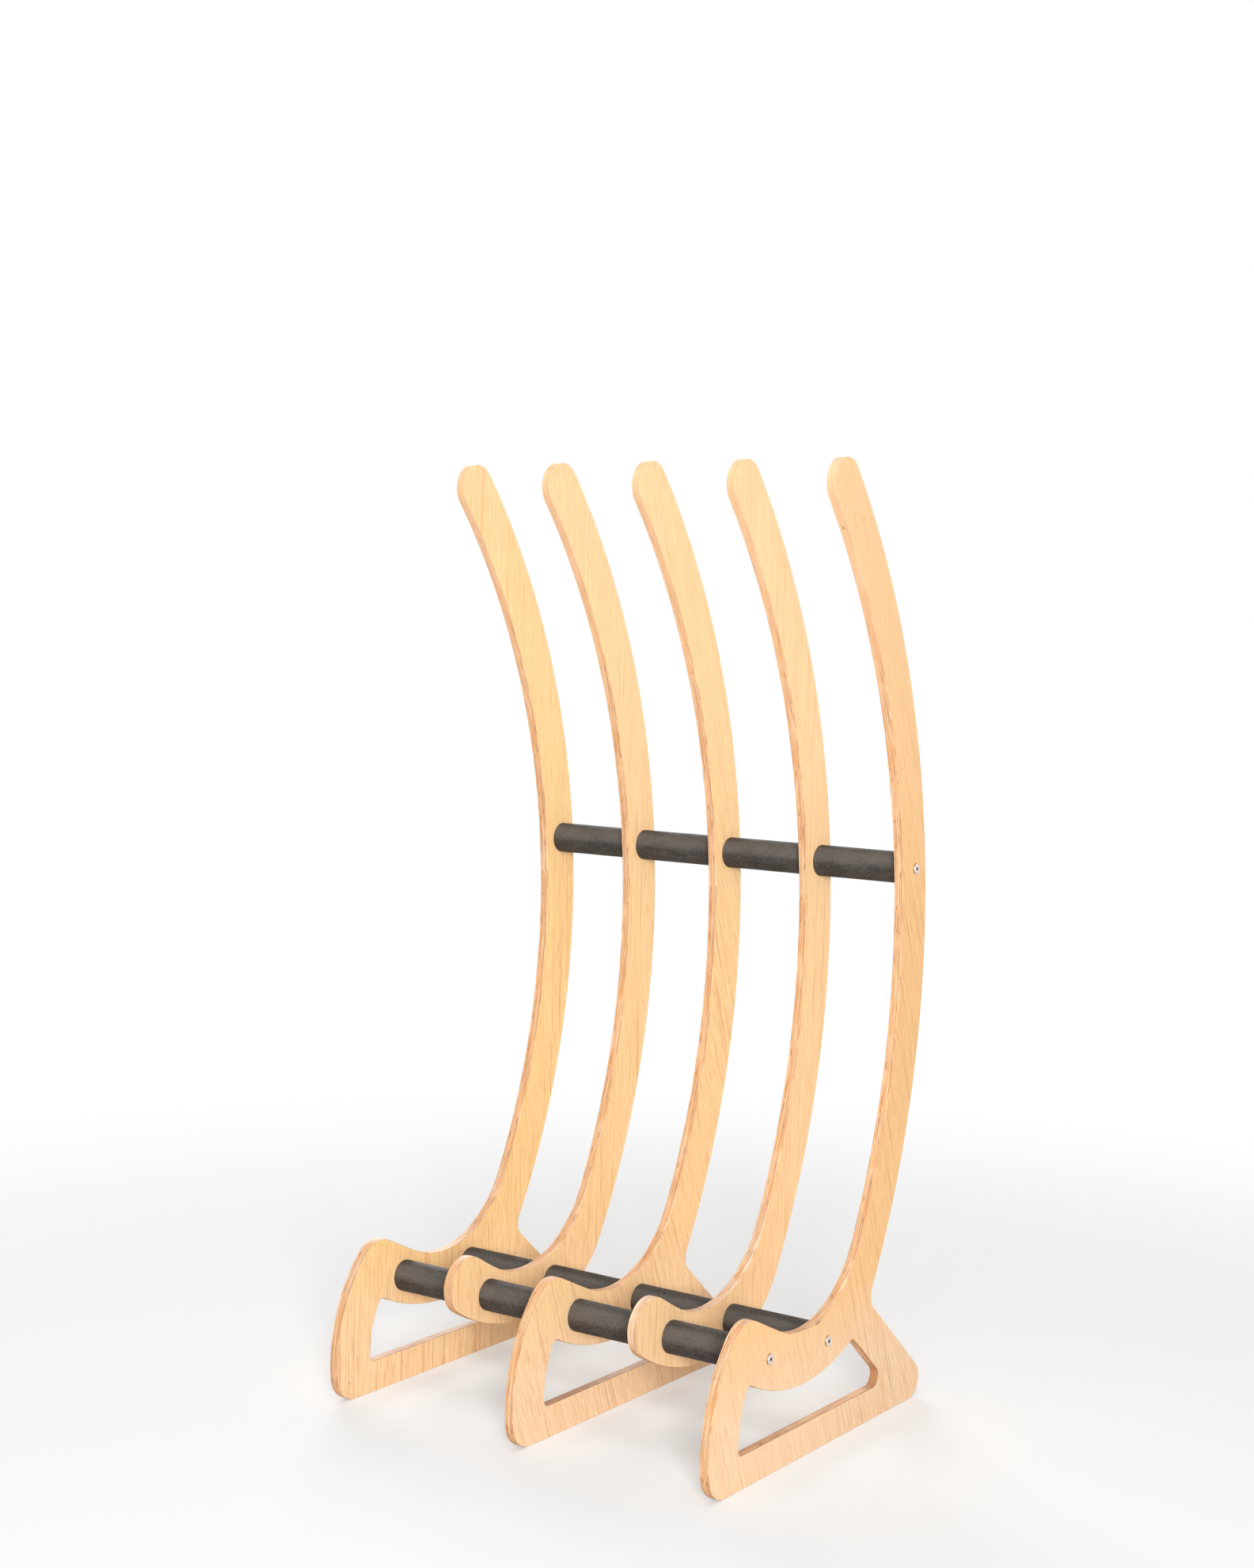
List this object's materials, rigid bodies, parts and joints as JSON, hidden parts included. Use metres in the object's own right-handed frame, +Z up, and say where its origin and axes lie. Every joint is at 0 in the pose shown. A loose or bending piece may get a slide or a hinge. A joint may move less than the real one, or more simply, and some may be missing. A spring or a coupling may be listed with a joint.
{
  "type": "vertical surfboard stand",
  "caption": "Free-standing plywood stand that holds boards upright on their tails in bays between bow-shaped panels, with foam-covered tubes as cradle and back rest.",
  "frame": {"origin": "on the floor, under the middle of the stand's bounding box", "axes": "+X along the row of panels, +Y to the back, where the uprights bow, +Z up"},
  "size_m": [0.7042, 0.6279, 1.474],
  "materials": {
    "plywood": "clear matt lacquer",
    "foam": "matt closed-cell foam",
    "core_tube": "mill finish",
    "plug": "moulded",
    "fastener": "zinc plated"
  },
  "bodies": {
    "root": {"left_end_panel": "plywood", "left_divider_panel": "plywood", "centre_panel": "plywood", "right_divider_panel": "plywood", "right_end_panel": "plywood", "front_foam_sleeve_1": "foam", "front_core_tube_1": "core_tube", "front_tube_plugs_1": "plug", "front_foam_sleeve_2": "foam", "front_core_tube_2": "core_tube", "front_tube_plugs_2": "plug", "front_foam_sleeve_3": "foam", "front_core_tube_3": "core_tube", "front_tube_plugs_3": "plug", "front_foam_sleeve_4": "foam", "front_core_tube_4": "core_tube", "front_tube_plugs_4": "plug", "front_joining_studs": "fastener", "rear_foam_sleeve_1": "foam", "rear_core_tube_1": "core_tube", "rear_tube_plugs_1": "plug", "rear_foam_sleeve_2": "foam", "rear_core_tube_2": "core_tube", "rear_tube_plugs_2": "plug", "rear_foam_sleeve_3": "foam", "rear_core_tube_3": "core_tube", "rear_tube_plugs_3": "plug", "rear_foam_sleeve_4": "foam", "rear_core_tube_4": "core_tube", "rear_tube_plugs_4": "plug", "rear_joining_studs": "fastener", "upper_foam_sleeve_1": "foam", "upper_core_tube_1": "core_tube", "upper_tube_plugs_1": "plug", "upper_foam_sleeve_2": "foam", "upper_core_tube_2": "core_tube", "upper_tube_plugs_2": "plug", "upper_foam_sleeve_3": "foam", "upper_core_tube_3": "core_tube", "upper_tube_plugs_3": "plug", "upper_foam_sleeve_4": "foam", "upper_core_tube_4": "core_tube", "upper_tube_plugs_4": "plug", "upper_joining_studs": "fastener", "left_end_bolts": "fastener", "right_end_bolts": "fastener"}
  },
  "joints": []
}
